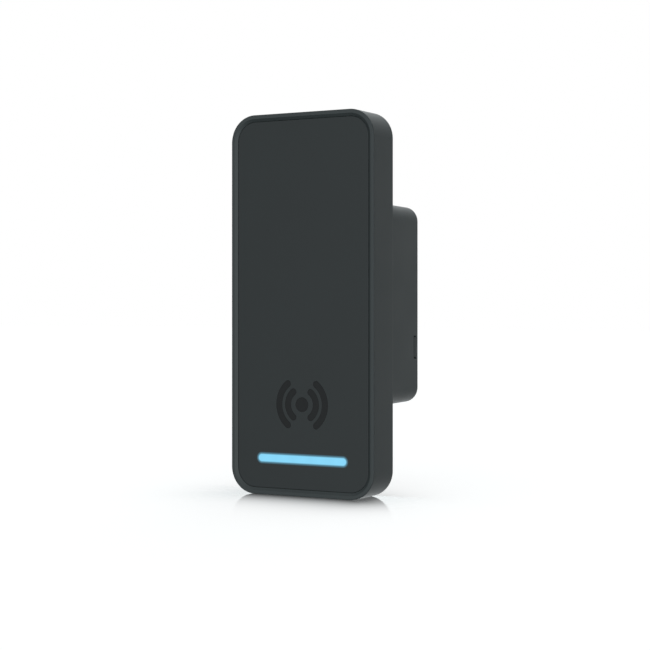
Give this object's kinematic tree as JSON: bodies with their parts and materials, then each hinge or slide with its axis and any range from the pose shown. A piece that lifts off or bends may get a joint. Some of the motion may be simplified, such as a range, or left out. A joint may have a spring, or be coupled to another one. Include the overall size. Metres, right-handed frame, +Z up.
{
  "type": "rfid card reader",
  "caption": "Slim wall-mounted card reader: a rounded slab with a raised rim, a recessed panel, a light bar and a rear box with a wiring bay.",
  "frame": {"origin": "centre of the two bracket screw holes, in the plane where the slab meets the wall", "axes": "+Z up, +Y into the wall, +X to the right seen from the front, so the front faces -Y"},
  "size_m": [0.051, 0.033, 0.12],
  "materials": {
    "shell_plastic": "fine satin texture",
    "module_plastic": "fine satin texture",
    "panel_plastic": "smooth satin",
    "symbol_gloss": "gloss",
    "light_diffuser": "milky, lit pale blue",
    "clear_acrylic": "clear",
    "adhesive_film": "matt film",
    "black_plastic": "matt",
    "led_package": "gloss",
    "circuit_board": "solder mask",
    "antenna_laminate": "solder mask",
    "copper_track": "bare copper",
    "ferrite": "matt sheet",
    "gold_spring": "gold plated",
    "tinned_steel": "tin plated",
    "chip_black": "moulded epoxy",
    "capacitor_ceramic": "matt",
    "antenna_ceramic": "matt",
    "transformer_black": "matt",
    "core_ferrite": "matt",
    "can_aluminium": "satin",
    "jack_black": "satin",
    "black_rubber": "matt",
    "membrane": "matt",
    "label_paper": "matt",
    "screw_steel": "zinc plated",
    "screw_black": "black passivated",
    "insert_brass": "machined",
    "switch_plastic": "matt",
    "button_plastic": "satin",
    "plunger_plastic": "satin",
    "spring_steel": "drawn wire"
  },
  "bodies": {
    "housing": {"front_housing": "shell_plastic", "front_panel": "panel_plastic", "panel_adhesive": "adhesive_film", "reader_symbol": "symbol_gloss", "light_bar_lens": "light_diffuser", "light_guide": "clear_acrylic", "led_shroud": "black_plastic", "status_leds": "led_package", "antenna_board": "antenna_laminate", "antenna_coil": "copper_track", "ferrite_sheet": "ferrite", "antenna_contacts": "gold_spring", "main_board": "circuit_board", "shield_can": "tinned_steel", "processor_chips": "chip_black", "chip_capacitors": "capacitor_ceramic", "bluetooth_antenna": "antenna_ceramic", "buzzer": "black_plastic", "poe_transformer": "transformer_black", "power_inductor": "core_ferrite", "electrolytic_capacitors": "can_aluminium", "rj45_shell": "tinned_steel", "rj45_insert": "jack_black", "rj45_contacts": "gold_spring", "back_housing": "module_plastic", "housing_gasket": "black_rubber", "vent_membrane": "membrane", "rating_label": "label_paper", "housing_screws": "screw_black", "board_screws": "screw_steel", "bracket_inserts": "insert_brass", "security_insert": "insert_brass", "reset_switch": "switch_plastic", "tamper_switch": "switch_plastic", "tamper_spring": "spring_steel"},
    "wiring_cover": {"wiring_cover": "module_plastic", "cover_gasket": "black_rubber", "cable_grommet": "black_rubber", "cover_screw": "screw_black"},
    "reset_button": {"reset_button": "button_plastic"},
    "tamper_plunger": {"tamper_plunger": "plunger_plastic"}
  },
  "joints": [
    {"name": "wiring_cover_lift", "type": "slide", "parent": "housing", "child": "wiring_cover", "axis": [0, 1, 0], "range_m": [0, 0.026]},
    {"name": "reset_press", "type": "slide", "parent": "housing", "child": "reset_button", "axis": [0, -1, 0], "range_m": [0, 0.0004], "stiffness_N_per_m": 2000, "springref_m": -0.0004},
    {"name": "tamper_press", "type": "slide", "parent": "housing", "child": "tamper_plunger", "axis": [0, -1, 0], "range_m": [0, 0.0016], "stiffness_N_per_m": 1280, "springref_m": -0.001, "deforming": ["tamper_spring"]}
  ]
}
